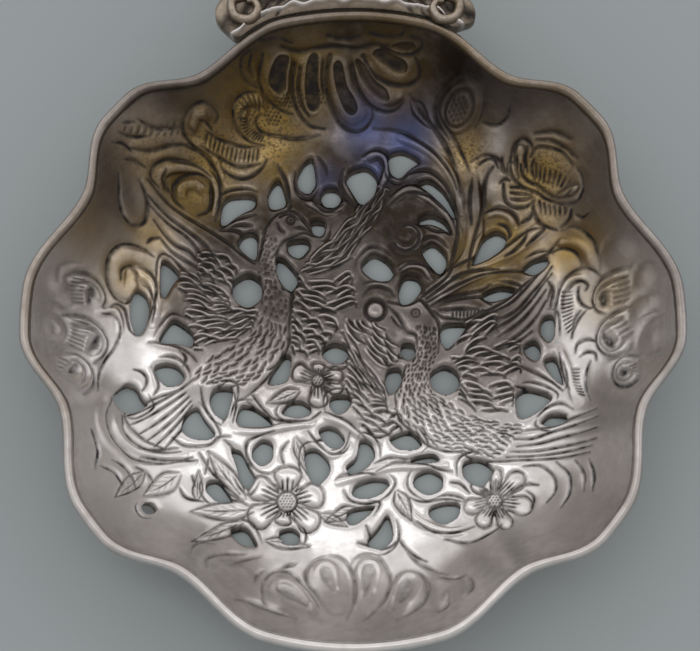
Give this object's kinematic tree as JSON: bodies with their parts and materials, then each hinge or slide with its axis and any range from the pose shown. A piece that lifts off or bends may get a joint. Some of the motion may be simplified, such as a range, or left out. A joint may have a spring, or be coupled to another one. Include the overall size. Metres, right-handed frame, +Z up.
{
  "type": "caddy spoon",
  "caption": "Silver caddy spoon with a lobed, pierced and chased bowl, a wired rim, a scrolled shoulder and a short flat-backed handle.",
  "frame": {"origin": "middle of the flat underside of the bowl", "axes": "+Y from the bowl towards the handle's end, +Z up out of the bowl, +X to the right"},
  "size_m": [0.06, 0.1061, 0.0173],
  "materials": {
    "silver": "aged satin silver, darkened in the recesses",
    "bright_silver": "silver worn bright",
    "dark_silver": "oxidised silver, bright on the raised edges"
  },
  "bodies": {
    "root": {"bowl": "silver", "rim_wire": "bright_silver", "shoulder": "dark_silver", "scroll_left": "dark_silver", "scroll_right": "dark_silver", "handle_back": "silver", "handle_front": "silver"}
  },
  "joints": []
}
